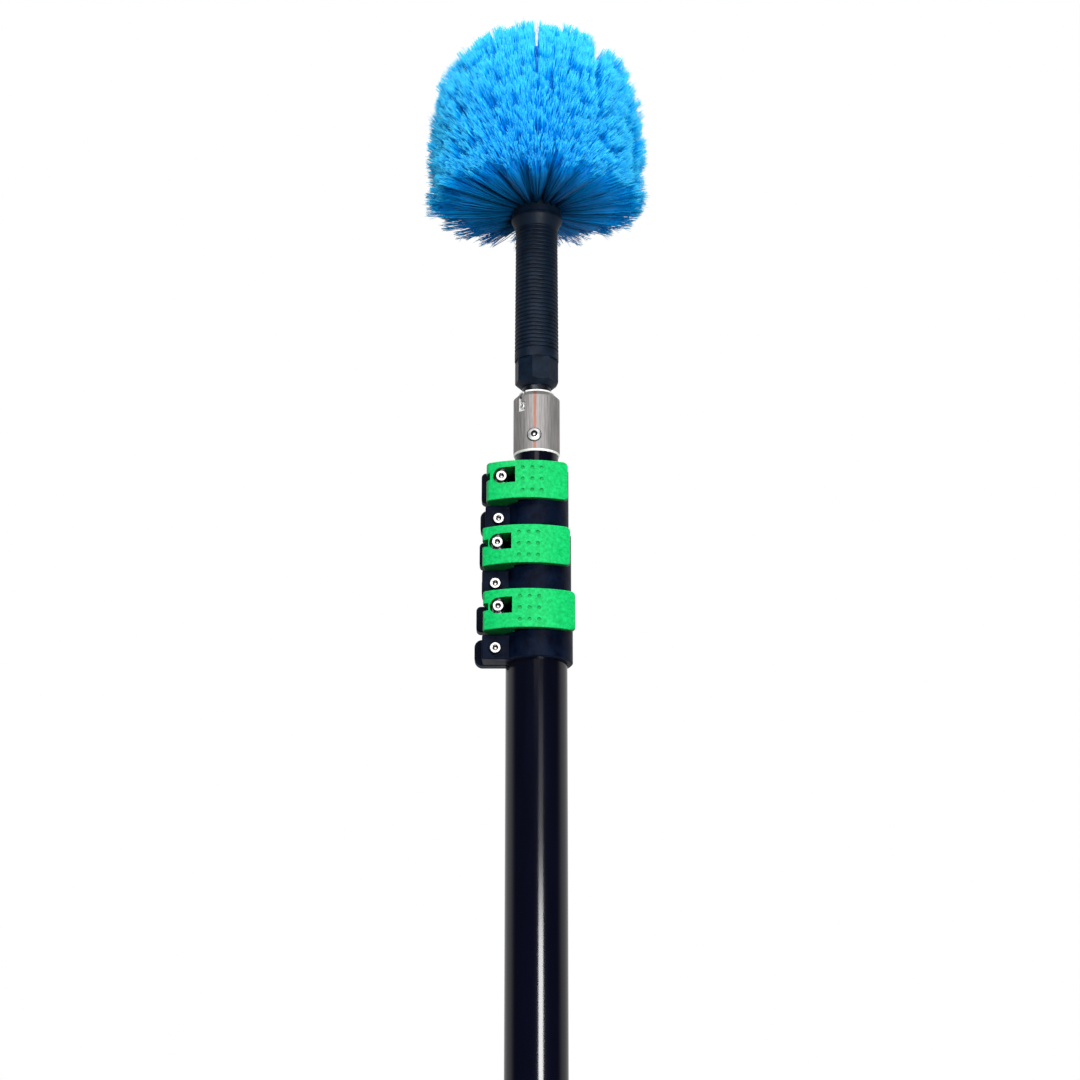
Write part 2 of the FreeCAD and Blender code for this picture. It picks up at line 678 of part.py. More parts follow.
def main():
    os.makedirs(PARTS, exist_ok=True)
    for name, shape in all_parts().items():
        if not shape.isValid() or len(shape.Solids) != 1:
            raise ValueError(f"{name}: valid {shape.isValid()}, solids {len(shape.Solids)}")
        shape.Solids[0].exportStep(f"{PARTS}/{name}.step")
        box = shape.BoundBox
        print(f"{name:22} {shape.Volume:10.0f} mm3  z {box.ZMin:7.1f} to {box.ZMax:7.1f}")


if __name__ == "__main__":
    main()
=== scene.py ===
"""Looks for the collapsed telescopic cleaning pole with its cobweb brush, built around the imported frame."""

import math

import bpy
import numpy as np
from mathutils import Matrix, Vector


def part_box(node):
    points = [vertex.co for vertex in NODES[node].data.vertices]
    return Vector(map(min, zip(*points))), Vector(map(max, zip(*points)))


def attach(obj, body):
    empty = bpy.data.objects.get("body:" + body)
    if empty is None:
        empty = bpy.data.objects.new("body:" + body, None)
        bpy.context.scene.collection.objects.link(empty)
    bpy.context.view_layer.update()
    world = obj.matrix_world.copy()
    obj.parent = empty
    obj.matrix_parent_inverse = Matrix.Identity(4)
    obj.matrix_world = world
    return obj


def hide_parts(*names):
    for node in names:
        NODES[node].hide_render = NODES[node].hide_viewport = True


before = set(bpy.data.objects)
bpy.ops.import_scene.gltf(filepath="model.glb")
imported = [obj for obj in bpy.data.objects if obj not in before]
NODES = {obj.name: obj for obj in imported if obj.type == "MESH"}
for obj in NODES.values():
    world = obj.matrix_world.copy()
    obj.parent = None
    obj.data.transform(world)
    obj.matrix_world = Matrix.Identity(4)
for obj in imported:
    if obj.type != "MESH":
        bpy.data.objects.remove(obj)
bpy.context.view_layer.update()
CLAMPS = ("lower", "middle", "upper")

# ---------------------------------------------------------------- camera

CLAMP_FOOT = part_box("lower_clamp_body")[0].z
CAMERA_X = 0.0026
CAMERA_DISTANCE = 1.8066
CAMERA_DROP = 0.4451
CAMERA_PITCH = 16.7
SENSOR = 36.0
LENS = 83.33


def make_camera():
    data = bpy.data.cameras.new("camera")
    data.sensor_width = SENSOR
    data.lens = LENS
    camera = bpy.data.objects.new("camera", data)
    camera.location = (CAMERA_X, -CAMERA_DISTANCE, CLAMP_FOOT - CAMERA_DROP)
    camera.rotation_euler = (math.radians(90 + CAMERA_PITCH), 0, 0)
    bpy.context.scene.collection.objects.link(camera)
    bpy.context.scene.camera = camera


make_camera()
bpy.context.scene.view_settings.view_transform = "Standard"

# ---------------------------------------------------------------- light, world and floor

FLOOR_HALF = 9.0


def area_light(name, place, target, size, watts):
    """A rectangular white light at place that shines towards target and is not in the picture itself."""
    data = bpy.data.lights.new(name, "AREA")
    data.shape = "RECTANGLE"
    data.size, data.size_y = size
    data.energy = watts
    light = bpy.data.objects.new(name, data)
    light.location = place
    light.rotation_euler = (Vector(target) - Vector(place)).to_track_quat("-Z", "Y").to_euler()
    light.visible_camera = False
    bpy.context.scene.collection.objects.link(light)


def make_world():
    """White to the camera; for lighting, a bright back half and a dim front and underside."""

    def soft_step(source, start, end, low, high):
        step = new("ShaderNodeMapRange")
        step.interpolation_type = "SMOOTHSTEP"
        for name, value in (("From Min", start), ("From Max", end), ("To Min", low), ("To Max", high)):
            step.inputs[name].default_value = value
        link(source, step.inputs["Value"])
        return step.outputs["Result"]

    world = bpy.data.worlds.new("studio")
    bpy.context.scene.world = world
    world.use_nodes = True
    tree = world.node_tree
    tree.nodes.clear()
    new, link = tree.nodes.new, tree.links.new
    out = new("ShaderNodeOutputWorld")
    mix = new("ShaderNodeMixShader")
    seen = new("ShaderNodeBackground")
    seen.inputs["Color"].default_value = (1, 1, 1, 1)
    lit = new("ShaderNodeBackground")
    path = new("ShaderNodeLightPath")
    coordinates = new("ShaderNodeTexCoord")
    split = new("ShaderNodeSeparateXYZ")
    strength = new("ShaderNodeMath")
    strength.operation = "MULTIPLY"
    link(coordinates.outputs["Generated"], split.inputs["Vector"])
    link(soft_step(split.outputs["Y"], -0.15, 0.35, 0.08, 0.95), strength.inputs[0])
    link(soft_step(split.outputs["Z"], -0.35, 0.25, 0.22, 1.0), strength.inputs[1])
    link(strength.outputs["Value"], lit.inputs["Strength"])
    link(path.outputs["Is Camera Ray"], mix.inputs["Fac"])
    link(lit.outputs["Background"], mix.inputs[1])
    link(seen.outputs["Background"], mix.inputs[2])
    link(mix.outputs["Shader"], out.inputs["Surface"])


def make_floor():
    """A plain pale floor under the pole's foot, as stage."""
    half = FLOOR_HALF
    corners = [(-half, -half, 0), (half, -half, 0), (half, half, 0), (-half, half, 0)]
    mesh = bpy.data.meshes.new("floor")
    mesh.from_pydata(corners, [], [(0, 1, 2, 3)])
    floor = bpy.data.objects.new("floor", mesh)
    bpy.context.scene.collection.objects.link(floor)
    floor.visible_diffuse = False
    material = bpy.data.materials.new("floor_paint")
    material.use_nodes = True
    shader = material.node_tree.nodes["Principled BSDF"]
    shader.inputs["Base Color"].default_value = (0.86, 0.86, 0.86, 1)
    shader.inputs["Roughness"].default_value = 0.8
    shader.inputs["Emission Color"].default_value = (1, 1, 1, 1)
    shader.inputs["Emission Strength"].default_value = 0.25
    mesh.materials.append(material)


make_world()
make_floor()
area_light("key", (-0.9, -2.2, 2.9), (0, 0, 1.25), (1.4, 1.0), 52)
area_light("front", (0.05, -2.6, 2.1), (0, 0, 1.2), (1.0, 0.7), 3.2)
area_light("right", (1.7, -1.5, 3.0), (0, 0, 1.5), (0.9, 0.8), 6)
area_light("brush", (0.35, -1.5, 3.1), (0, 0, 1.5), (0.9, 0.9), 15)
area_light("window", (0.72, -2.5, 0.74), (0, 0, 0.85), (0.75, 1.0), 62)
area_light("window_top", (0.72, -2.5, 1.42), (0, 0, 1.0), (0.7, 0.35), 0.8)
area_light("top", (0.3, 0.3, 3.6), (0, 0, 1.5), (1.8, 1.8), 40)

# ---------------------------------------------------------------- materials

# The levers' front curve and the grid of grip dimples in it
STRAP_CENTRE_X = -0.006
STRAP_RADIUS = 0.060
DIMPLE_BAND = 0.0108
DIMPLES_FROM = 0.0250
DIMPLES_TO = 0.0440
DIMPLE_DEPTH = 0.0011
# Painted shade: the dark green laid on the levers' down-facing surfaces and on the floors of the grip dimples
PAINTED_SHADE_GREEN = (0.001, 0.05, 0.006)

SEAM_X = -0.0013
# Height of the painted highlight along the sleeve's lower rim
SLEEVE_RIM_HIGHLIGHT = 0.0013
# Painted shadow line round the screw heads, and painted shade in their hexagon sockets
SCREW_SHADOW_LINE = 0.43
PAINTED_SOCKET_SHADE = (0.010, 0.009, 0.010)


class Nodes:
    """A material's node tree with its Principled shader and the piece's own coordinates."""

    def __init__(self, name, roughness, metallic=0.0, specular=0.5):
        self.material = bpy.data.materials.new(name)
        self.material.use_nodes = True
        self.tree = self.material.node_tree
        self.tree.nodes.clear()
        self.out = self.node("ShaderNodeOutputMaterial")
        self.shader = self.node("ShaderNodeBsdfPrincipled")
        self.shader.inputs["Roughness"].default_value = roughness
        self.shader.inputs["Metallic"].default_value = metallic
        self.shader.inputs["Specular IOR Level"].default_value = specular
        self.place = self.node("ShaderNodeTexCoord").outputs["Object"]
        self.link(self.shader.outputs["BSDF"], self.out.inputs["Surface"])

    def node(self, kind, **settings):
        """A new node with the given settings."""
        made = self.tree.nodes.new(kind)
        for key, value in settings.items():
            setattr(made, key, value)
        return made

    def link(self, source, target):
        self.tree.links.new(source, target)

    def scaled(self, factors):
        """The piece's coordinates, stretched by a factor along each axis."""
        mapping = self.node("ShaderNodeMapping")
        mapping.inputs["Scale"].default_value = factors
        self.link(self.place, mapping.inputs["Vector"])
        return mapping.outputs["Vector"]

    def noise(self, scale, stretch=(1, 1, 1), detail=3.0, roughness=0.6):
        made = self.node("ShaderNodeTexNoise")
        made.inputs["Scale"].default_value = scale
        made.inputs["Detail"].default_value = detail
        made.inputs["Roughness"].default_value = roughness
        self.link(self.scaled(stretch), made.inputs["Vector"])
        return made.outputs["Fac"]

    def ramp(self, value, *stops):
        """A colour ramp over value. Each stop is (position, colour)."""
        made = self.node("ShaderNodeValToRGB")
        elements = made.color_ramp.elements
        while len(elements) < len(stops):
            elements.new(0.5)
        for element, (position, colour) in zip(elements, stops, strict=True):
            element.position = position
            element.color = (*colour, 1)
        self.link(value, made.inputs["Fac"])
        return made.outputs["Color"]

    def ranged(self, value, source, target, smooth=False):
        """value carried from the source range to the target range, and clamped."""
        made = self.node("ShaderNodeMapRange")
        made.interpolation_type = "SMOOTHSTEP" if smooth else "LINEAR"
        made.inputs["From Min"].default_value, made.inputs["From Max"].default_value = source
        made.inputs["To Min"].default_value, made.inputs["To Max"].default_value = target
        self.link(value, made.inputs["Value"])
        return made.outputs["Result"]

    def split(self, vector=None):
        """The X, Y and Z of a vector, or of the material's own coordinates."""
        made = self.node("ShaderNodeSeparateXYZ")
        self.link(self.place if vector is None else vector, made.inputs["Vector"])
        return made.outputs["X"], made.outputs["Y"], made.outputs["Z"]

    def distance(self, first, second):
        """The length of a flat vector."""
        squares = self.maths("ADD", self.maths("POWER", first, 2.0), self.maths("POWER", second, 2.0))
        return self.maths("SQRT", squares)

    def maths(self, operation, first, second=0.0):
        """One arithmetic step on two values, each a number or a node's output."""
        made = self.node("ShaderNodeMath", operation=operation)
        for socket, value in zip(made.inputs, (first, second), strict=False):
            if isinstance(value, (int, float)):
                socket.default_value = value
            else:
                self.link(value, socket)
        return made.outputs["Value"]

    def blend(self, factor, first, second):
        """From the first colour to the second, as factor goes from 0 to 1."""
        made = self.node("ShaderNodeMix", data_type="RGBA")
        sockets = [s for s in made.inputs if s.type == "RGBA"]
        for socket, value in zip(sockets, (first, second), strict=True):
            if isinstance(value, tuple):
                socket.default_value = (*value, 1)
            else:
                self.link(value, socket)
        self.link(factor, made.inputs[0])
        return [s for s in made.outputs if s.type == "RGBA"][0]

    def multiplied(self, first, second):
        """The product of two colours."""
        made = self.node("ShaderNodeMix", data_type="RGBA", blend_type="MULTIPLY")
        made.inputs[0].default_value = 1.0
        sockets = [s for s in made.inputs if s.type == "RGBA"]
        self.link(first, sockets[0])
        self.link(second, sockets[1])
        return [s for s in made.outputs if s.type == "RGBA"][0]

    def bump(self, height, strength, distance):
        made = self.node("ShaderNodeBump")
        made.inputs["Strength"].default_value = strength
        made.inputs["Distance"].default_value = distance
        self.link(height, made.inputs["Height"])
        self.link(made.outputs["Normal"], self.shader.inputs["Normal"])

    def colour(self, value):
        self.link(value, self.shader.inputs["Base Color"])

    def rough(self, value):
        self.link(value, self.shader.inputs["Roughness"])


def plastic(name, dark, light, rough, patch, grain, bump, specular=0.5):
    """Moulded plastic: mottled colour, uneven gloss and a fine moulded grain. Sizes are in metres."""
    m = Nodes(name, rough[0], specular=specular)
    m.colour(m.ramp(m.noise(1 / patch), (0.3, dark), (0.7, light)))
    m.rough(m.ranged(m.noise(0.7 / patch, detail=5.0), (0.3, 0.7), rough))
    m.bump(m.noise(1 / grain, detail=2.0), bump, grain / 2)
    return m.material


def lever_plastic(node):
    """Mottled green moulding, with painted shade on the surfaces that face down and in the grip dimples."""
    m = Nodes(f"{node}_green", 0.42, specular=0.12)
    mottle = m.ramp(m.noise(420.0, detail=4.0), (0.30, (0.0, 0.36, 0.075)), (0.70, (0.008, 0.60, 0.16)))
    # Painted shade: the green turns darker on surfaces that face down and on the floors of the grip dimples
    _, _, up = m.split(m.node("ShaderNodeNewGeometry").outputs["True Normal"])
    under = m.ranged(up, (-0.9, -0.5), (0.75, 0.0))
    low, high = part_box(node)
    x, y, z = m.split()
    across = m.maths("SUBTRACT", x, STRAP_CENTRE_X)
    back = m.maths("SUBTRACT", y, low.y + STRAP_RADIUS)
    depth = m.maths("SUBTRACT", STRAP_RADIUS, m.distance(across, back))
    entered = m.ranged(depth, (0.0001, 0.0005), (0.0, 1.0))
    left = m.ranged(depth, (DIMPLE_DEPTH, DIMPLE_DEPTH + 0.0002), (1.0, 0.0))
    height = m.maths("ABSOLUTE", m.maths("SUBTRACT", z, (low.z + high.z) / 2))
    band = m.maths("LESS_THAN", height, DIMPLE_BAND)
    past_first = m.maths("GREATER_THAN", x, low.x + DIMPLES_FROM)
    before_last = m.maths("LESS_THAN", x, low.x + DIMPLES_TO)
    grid = m.maths("MULTIPLY", band, m.maths("MULTIPLY", past_first, before_last))
    dimple = m.maths("MULTIPLY", m.maths("MULTIPLY", entered, left), grid)
    lever_painted_shade = m.maths("MAXIMUM", under, m.maths("MULTIPLY", dimple, 0.3))
    m.colour(m.blend(lever_painted_shade, mottle, PAINTED_SHADE_GREEN))
    m.rough(m.ranged(m.noise(120.0, detail=5.0), (0.3, 0.7), (0.36, 0.50)))
    m.bump(m.noise(900.0, detail=2.0), 0.22, 0.0005)
    return m.material


def brushed(name, dark, light, rough, streak, stretch, bump=0.1):
    """Metal with fine brush lines, drawn out along the axis whose stretch is small."""
    m = Nodes(name, rough[0], metallic=1.0)
    lines = m.noise(1 / streak, stretch, detail=5.0)
    m.colour(m.ramp(lines, (0.25, dark), (0.75, light)))
    m.rough(m.ranged(m.noise(1.7 / streak, stretch), (0.3, 0.7), rough))
    m.bump(lines, bump, streak / 4)
    return m.material


def screw_metal(name, head_radius, socket_radius, rough):
    """Plated steel, with painted shade in the hexagon socket except at its drill point, which keeps the plated
    colour, and a painted shadow line round the head.
    """
    m = Nodes(name, rough[0], metallic=1.0)
    lines = m.noise(900.0, detail=4.0)
    plated = m.ramp(lines, (0.25, (0.74, 0.74, 0.74)), (0.75, (0.94, 0.94, 0.93)))
    x, _, z = m.split(m.node("ShaderNodeTexCoord").outputs["Generated"])
    away = m.distance(m.maths("SUBTRACT", x, 0.5), m.maths("SUBTRACT", z, 0.5))
    # Painted shade in the socket and a painted shadow line round the edge of the head
    rim = socket_radius / head_radius / 2
    inside = m.ranged(away, (rim * 0.97, rim * 1.06), (1.0, 0.0))
    beyond = m.ranged(away, (rim * 0.25, rim * 0.5), (0.0, 1.0))
    shadow_line = m.ranged(away, (SCREW_SHADOW_LINE, SCREW_SHADOW_LINE + 0.03), (0.0, 1.0))
    socket_and_outline_shade = m.maths("MAXIMUM", m.maths("MULTIPLY", inside, beyond), shadow_line)
    m.colour(m.blend(socket_and_outline_shade, plated, PAINTED_SOCKET_SHADE))
    m.rough(m.ranged(m.noise(1100.0), (0.3, 0.7), rough))
    m.bump(lines, 0.08, 0.0002)
    return m.material


def tube_paint():
    """Satin blue-black coating on the pole, with faint drawn lines and a few wear specks."""
    m = Nodes("pole_coating", 0.13, specular=0.42)
    patches = m.noise(26.0, (1, 1, 0.25), detail=4.0)
    base = m.ramp(patches, (0.35, (0.0004, 0.0006, 0.004)), (0.7, (0.0010, 0.0016, 0.009)))
    specks = m.ranged(m.noise(900.0, detail=1.0), (0.70, 0.76), (0.0, 0.5))
    m.colour(m.blend(specks, base, (0.004, 0.006, 0.016)))
    m.rough(m.ranged(m.noise(60.0, (1, 1, 0.1), detail=4.0), (0.3, 0.7), (0.11, 0.16)))
    m.bump(m.noise(1400.0, (1, 1, 0.08), detail=2.0), 0.03, 0.0002)
    return m.material


def sleeve_metal():
    """Drawn and brushed steel with the brazed seam down the sleeve's front and a painted highlight along the
    lower rim.
    """
    m = Nodes("sleeve_metal", 0.45, metallic=1.0)
    lines = m.noise(900.0, (1, 1, 0.06), detail=5.0)
    steel = m.ramp(lines, (0.3, (0.21, 0.20, 0.20)), (0.7, (0.36, 0.345, 0.34)))
    x, y, z = m.split()
    ragged = m.ranged(m.noise(260.0, (1, 1, 0.5)), (0.0, 1.0), (-0.0006, 0.0006))
    away = m.maths("ABSOLUTE", m.maths("ADD", m.maths("SUBTRACT", x, SEAM_X), ragged))
    seam = m.ranged(away, (0.0007, 0.0014), (1.0, 0.0), smooth=True)
    front = m.ranged(y, (-0.012, -0.010), (1.0, 0.0))
    copper = m.maths("MULTIPLY", seam, front)
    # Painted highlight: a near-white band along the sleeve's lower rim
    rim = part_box("adaptor_sleeve")[0].z + SLEEVE_RIM_HIGHLIGHT
    foot = m.ranged(z, (rim, rim + 0.0003), (1.0, 0.0))
    brazed = m.blend(copper, steel, (0.34, 0.165, 0.125))
    m.colour(m.blend(foot, brazed, (0.90, 0.89, 0.87)))
    m.rough(m.ranged(m.noise(1200.0, (1, 1, 0.06)), (0.3, 0.7), (0.60, 0.74)))
    m.bump(lines, 0.12, 0.0003)
    return m.material


NYLON_BLACK = (0.0004, 0.0010, 0.0065), (0.0022, 0.0070, 0.0220)
RUBBER_BLACK = (0.001, 0.004, 0.011), (0.004, 0.012, 0.026)
BUSH_BLACK = (0.008, 0.008, 0.010), (0.016, 0.016, 0.018)
BUTT_BLACK = (0.006, 0.006, 0.007), (0.016, 0.016, 0.017)
NYLON_WHITE = (0.74, 0.74, 0.72), (0.86, 0.86, 0.85)
NUT_GREY = (0.40, 0.40, 0.40), (0.62, 0.62, 0.61)
PIN_GREY = (0.12, 0.12, 0.13), (0.26, 0.26, 0.27)
ALUMINIUM = (0.60, 0.60, 0.61), (0.76, 0.76, 0.77)
CHROME = (0.025, 0.03, 0.036), (0.05, 0.055, 0.065)
finishes = {
    "tube": tube_paint(),
    "clamp": plastic("clamp_nylon", *NYLON_BLACK, (0.34, 0.50), 0.008, 0.0012, 0.25, specular=0.05),
    "handle": plastic("handle_rubber", *RUBBER_BLACK, (0.38, 0.50), 0.007, 0.0010, 0.3, specular=0.12),
    "bush": plastic("bush_nylon", *BUSH_BLACK, (0.45, 0.6), 0.006, 0.0010, 0.2),
    "butt": plastic("butt_rubber", *BUTT_BLACK, (0.6, 0.8), 0.005, 0.0008, 0.5),
    "sleeve": sleeve_metal(),
    "screw": screw_metal("screw_plated", 4.25, 2.15, (0.26, 0.36)),
    "button": screw_metal("button_screw_plated", 5.5, 2.6, (0.42, 0.52)),
    "socket": plastic("socket_nylon", *NYLON_WHITE, (0.4, 0.55), 0.005, 0.0009, 0.15),
    "nut": brushed("nut_plated", *NUT_GREY, (0.28, 0.42), 0.0010, (1, 1, 1), 0.2),
    "pin": brushed("pin_blackened", *PIN_GREY, (0.3, 0.4), 0.0010, (1, 1, 0.1)),
    "insert": brushed("insert_aluminium", *ALUMINIUM, (0.3, 0.4), 0.001, (1, 1, 6)),
    "spigot": brushed("spigot_chrome", *CHROME, (0.28, 0.4), 0.003, (1, 1, 0.15), 0.03),
}
finish_of = {
    "butt_cap": "butt",
    "outer_tube": "tube",
    "second_tube": "tube",
    "third_tube": "tube",
    "inner_tube": "tube",
    "second_guide_bush": "bush",
    "third_guide_bush": "bush",
    "inner_guide_bush": "bush",
    "socket_bush": "socket",
    "adaptor_sleeve": "sleeve",
    "tube_insert": "insert",
    "adaptor_screw": "button",
    "locking_pin": "insert",
    "brush_spigot": "spigot",
    "brush_handle": "handle",
    "brush_core": "handle",
}
for clamp in CLAMPS:
    finishes[f"{clamp}_lever"] = lever_plastic(f"{clamp}_lever")
    finish_of[f"{clamp}_lever"] = f"{clamp}_lever"
    finish_of[f"{clamp}_clamp_body"] = "clamp"
    finish_of[f"{clamp}_barrel_pin"] = "pin"
    finish_of[f"{clamp}_collar_screw"] = finish_of[f"{clamp}_tension_bolt"] = "screw"
    finish_of[f"{clamp}_collar_nut"] = finish_of[f"{clamp}_tension_nut"] = "nut"
for node_name, finish in finish_of.items():
    mesh = NODES[node_name].data
    mesh.materials.clear()
    mesh.materials.append(finishes[finish])

# ---------------------------------------------------------------- bristles

rng = np.random.default_rng(11)
CORE_LOW, CORE_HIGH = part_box("brush_core")
BRISTLE_LOW, BRISTLE_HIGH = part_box("bristles")
FIBRE_UV = "OFBake"
UP = np.array([0.0, 0.0, 1.0])

# The core that holds the tufts, and the trimmed outside: a short wall with a dome on it
HUB_RADIUS = 0.019
BRUSH_RADIUS = (BRISTLE_HIGH.x - BRISTLE_LOW.x) / 2
DOME_CENTRE = BRISTLE_HIGH.z - BRUSH_RADIUS
TRIM_RADIUS = 0.0888
BOTTOM_FLARE = 0.02
HUB_DOME_CENTRE = CORE_HIGH.z - HUB_RADIUS

# Where the tufts stand
BRISTLE_SECTIONS = 4
ROWS = 8
FIRST_ROOT = BRISTLE_LOW.z - 0.003
FIRST_TIP = BRISTLE_LOW.z + 0.0135
ROOT_INSET = 0.0015
TUFT_WIDTH = 0.029

# One tuft: clumps of filaments that spread from a narrow root, each with a split hair at its end
TUFT_SPREAD = 0.0150
ROOT_SPREAD = 0.0022
CLUMPS_PER_TUFT = 15
CLUMP_TURN = 2.4
CLUMP_SPREAD = 0.26
FILAMENTS_PER_CLUMP = 14
SEGMENTS = 4
SIDES = 3
FILAMENT_RADII = (0.00034, 0.00032, 0.00029, 0.00020)
FILAMENT_SWAY = 0.0011
HAIR_START = 0.62
HAIR_RADII = (0.00022, 0.00010)
HAIR_SWAY = 0.0013
HAIR_SHARE = 0.86
SHADE_FAN = 0.008

# The closed, fluted middle of a tuft
TUFT_BODY_SHARE = 0.74
TUFT_BODY_ROOT = 0.0021
TUFT_BODY_SLACK = 0.0012
TUFT_BODY_END = 0.55
TUFT_BODY_SIDES = 24
TUFT_BODY_RINGS = 7
TUFT_UV_WIDTH = 0.35

# The gaps over the top of the brush: x of the gap, half its width, and the direction that it faces
PARTINGS = (
    (0.0, 0.0024, (0.0, -0.45, 0.89)),
    (0.052, 0.0050, (0.62, -0.45, 0.64)),
    (-0.036, 0.0018, (-0.35, -0.45, 0.82)),
)
PARTING_START = 0.55
PARTING_FULL = 0.75
PARTING_FADE = 1.6
PARTING_DROP = 0.8


def along_profile(distance, low, centre, radius):
    """Radius, height and the normal's tilt on a wall that goes up to a hemisphere's foot and then over it."""
    wall = centre - low
    if distance <= wall:
        return radius, low + distance, 0.0
    turn = (distance - wall) / radius
    return radius * math.cos(turn), centre + radius * math.sin(turn), turn


def tuft_list():
    """(root, tip, tangent across, tangent along the profile) of each tuft."""
    tufts = []
    outer = DOME_CENTRE - FIRST_TIP + BRUSH_RADIUS * math.pi / 2
    inner = HUB_DOME_CENTRE - FIRST_ROOT + HUB_RADIUS * math.pi / 2
    for row in range(ROWS):
        share = row / (ROWS - 1)
        tip_r, tip_z, tilt = along_profile(share * outer, FIRST_TIP, DOME_CENTRE, BRUSH_RADIUS)
        root_r, root_z, _ = along_profile(share * inner, FIRST_ROOT, HUB_DOME_CENTRE, HUB_RADIUS)
        count = max(1, round(2 * math.pi * tip_r / TUFT_WIDTH))
        for k in range(count):
            azimuth = 2 * math.pi * (k + 0.5 * (row % 2)) / count + rng.normal(0, 0.02)
            lean = tilt + rng.normal(0, 0.015)
            out = np.array([math.sin(azimuth), -math.cos(azimuth), 0.0])
            across = np.array([math.cos(azimuth), math.sin(azimuth), 0.0])
            root = out * (root_r - ROOT_INSET) + UP * root_z
            tip = out * tip_r + UP * tip_z
            along = UP * math.cos(lean) - out * math.sin(lean)
            tufts.append((root, tip, across, along))
    return tufts


def trim_factor(points):
    """What scales each point's ray, from the axis or the dome's centre, to end it on the trimmed outside."""
    x, y, z = points[:, 0], points[:, 1], points[:, 2]
    flat = np.hypot(x, y)
    height = z - DOME_CENTRE
    reach = np.where(height > 0, np.hypot(flat, height), flat)
    low = np.clip((DOME_CENTRE - z) / (DOME_CENTRE - BRISTLE_LOW.z), 0, 1)
    return TRIM_RADIUS * (1 + BOTTOM_FLARE * low) / np.maximum(reach, 1e-6)


def parted(points):
    """Moves points sideways, out of the partings that run over the top of the brush from front to back."""
    moved = points.copy()
    rays = points - [0, 0, DOME_CENTRE]
    for parting, width, direction in PARTINGS:
        facing = rays @ np.array(direction) / np.linalg.norm(rays, axis=1)
        near = np.clip((facing - PARTING_START) / (PARTING_FULL - PARTING_START), 0, 1)
        aside = points[:, 0] - parting
        push = np.where(aside < 0, -1.0, 1.0) * width * np.exp(-np.abs(aside) / (PARTING_FADE * width))
        moved[:, 0] += push * near
        moved[:, 2] -= push * near * direction[0] * PARTING_DROP
    return moved


def strands(paths, radii, shade, share):
    """Vertices, quads, triangles and UVs of thin three-sided strands. paths is (count, points, 3)."""
    count, points, _ = paths.shape
    run = paths[:, -1] - paths[:, 0]
    run /= np.linalg.norm(run, axis=1, keepdims=True)
    helper = np.where(np.abs(run[:, 2:3]) < 0.8, [[0.0, 0.0, 1.0]], [[1.0, 0.0, 0.0]])
    side = np.cross(run, helper)
    side /= np.linalg.norm(side, axis=1, keepdims=True)
    other = np.cross(run, side)
    start = rng.uniform(0, 2 * math.pi, count)
    angles = start[:, None] + np.arange(SIDES) * 2 * math.pi / SIDES
    spokes = np.cos(angles)[..., None] * side[:, None] + np.sin(angles)[..., None] * other[:, None]
    vertices = paths[:, :, None, :] + radii[:, :, None, None] * spokes[:, None]
    vertices = vertices.reshape(-1, 3)
    first = (np.arange(count) * points * SIDES)[:, None, None]
    ring = (np.arange(points - 1) * SIDES)[None, :, None]
    k = np.arange(SIDES)[None, None, :]
    after = (k + 1) % SIDES
    low = first + ring
    quads = np.stack([low + k, low + SIDES + k, low + SIDES + after, low + after], axis=-1).reshape(-1, 4)
    foot = np.arange(count) * points * SIDES
    top = foot + (points - 1) * SIDES
    caps = np.concatenate(
        [np.stack([foot, foot + 1, foot + 2], axis=-1), np.stack([top, top + 2, top + 1], axis=-1)]
    )
    fan = np.tile((np.arange(SIDES) - 1) * SHADE_FAN, count * points)
    tint = np.repeat(shade, points * SIDES) + fan
    level = np.repeat(share, SIDES, axis=1).reshape(-1)
    return vertices, quads, caps, np.stack([tint, level], axis=-1)


def strand_object(name, parts):
    """One mesh object from several strands() results. Its UV map holds shade and share of length."""
    vertices, faces, coordinates, base = [], [], [], 0
    for part_vertices, quads, caps, uv in parts:
        vertices.append(part_vertices)
        coordinates.append(uv)
        faces.append((quads + base, caps + base))
        base += len(part_vertices)
    vertices, coordinates = np.concatenate(vertices), np.concatenate(coordinates)
    quads = np.concatenate([f[0] for f in faces])
    caps = np.concatenate([f[1] for f in faces])
    loops = np.concatenate([quads.ravel(), caps.ravel()])
    starts = np.concatenate([np.arange(len(quads)) * 4, len(quads) * 4 + np.arange(len(caps)) * 3])
    mesh = bpy.data.meshes.new(name)
    mesh.vertices.add(len(vertices))
    mesh.vertices.foreach_set("co", vertices.astype(np.float32).ravel())
    mesh.loops.add(len(loops))
    mesh.loops.foreach_set("vertex_index", loops.astype(np.int32))
    mesh.polygons.add(len(starts))
    mesh.polygons.foreach_set("loop_start", starts.astype(np.int32))
    mesh.update(calc_edges=True)
    layer = mesh.uv_layers.new(name=FIBRE_UV)
    layer.data.foreach_set("uv", coordinates[loops].astype(np.float32).ravel())
    mesh.validate()
    made = bpy.data.objects.new(name, mesh)
    bpy.context.scene.collection.objects.link(made)
    return made


